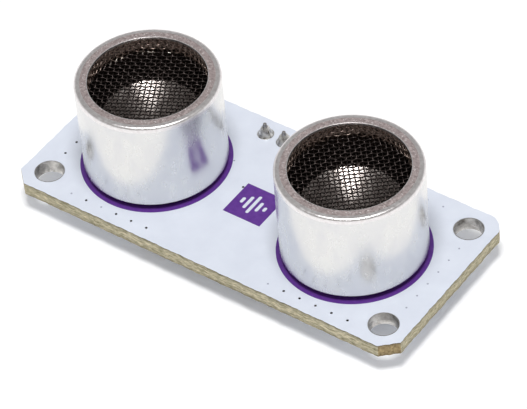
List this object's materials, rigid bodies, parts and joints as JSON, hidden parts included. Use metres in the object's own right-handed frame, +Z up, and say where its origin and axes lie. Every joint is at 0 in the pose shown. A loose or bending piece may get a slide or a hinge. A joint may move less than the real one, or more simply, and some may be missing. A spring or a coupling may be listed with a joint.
{
  "type": "ultrasonic distance sensor",
  "caption": "Ultrasonic distance sensor: small white circuit board with two open-faced metal-can transducers and a low socket strip for its wiring.",
  "frame": {"origin": "on the table under the middle of the board, which stands on its transducer pins and socket strip", "axes": "+X along the board's length towards the transmitter, +Y towards the edge with the wiring socket, +Z up out of the transducers' faces"},
  "size_m": [0.05, 0.0224, 0.0159],
  "materials": {
    "board": "white solder mask",
    "can": "satin",
    "horn": "bright",
    "screen": "matt black",
    "base": "moulded",
    "silicone": "plain",
    "plate": "plain",
    "piezo": "silvered",
    "tinned": "tinned",
    "solder": "bright",
    "contact": "gold plated",
    "socket": "moulded",
    "chip": "moulded",
    "capacitor": "plain",
    "tantalum": "plain",
    "resistor": "plain"
  },
  "bodies": {
    "root": {"circuit_board": "board", "transmitter_can": "can", "transmitter_screen": "screen", "transmitter_horn": "horn", "transmitter_vibrating_plate": "plate", "transmitter_piezo_disc": "piezo", "transmitter_cushion": "silicone", "transmitter_base": "base", "transmitter_pin_front": "tinned", "transmitter_pin_back": "tinned", "transmitter_lead_to_plate": "tinned", "transmitter_lead_to_disc": "tinned", "transmitter_solder_front": "solder", "transmitter_solder_back": "solder", "receiver_can": "can", "receiver_screen": "screen", "receiver_horn": "horn", "receiver_vibrating_plate": "plate", "receiver_piezo_disc": "piezo", "receiver_cushion": "silicone", "receiver_base": "base", "receiver_pin_front": "tinned", "receiver_pin_back": "tinned", "receiver_lead_to_plate": "tinned", "receiver_lead_to_disc": "tinned", "receiver_solder_front": "solder", "receiver_solder_back": "solder", "socket_strip": "socket", "socket_contact_1": "contact", "socket_solder_1": "solder", "socket_contact_2": "contact", "socket_solder_2": "solder", "socket_contact_3": "contact", "socket_solder_3": "solder", "socket_contact_4": "contact", "socket_solder_4": "solder", "socket_contact_5": "contact", "socket_solder_5": "solder", "microcontroller": "chip", "receive_amplifier": "chip", "transmit_driver": "chip", "threshold_transistor": "chip", "crystal": "tinned", "supply_capacitor": "tantalum", "driver_capacitor_1": "capacitor", "driver_capacitor_2": "capacitor", "filter_capacitor_1": "capacitor", "filter_capacitor_2": "capacitor", "bypass_capacitor_1": "capacitor", "bypass_capacitor_2": "capacitor", "resistor_1": "resistor", "resistor_2": "resistor", "resistor_3": "resistor", "resistor_4": "resistor", "resistor_5": "resistor", "resistor_6": "resistor", "resistor_7": "resistor", "resistor_8": "resistor"}
  },
  "joints": []
}
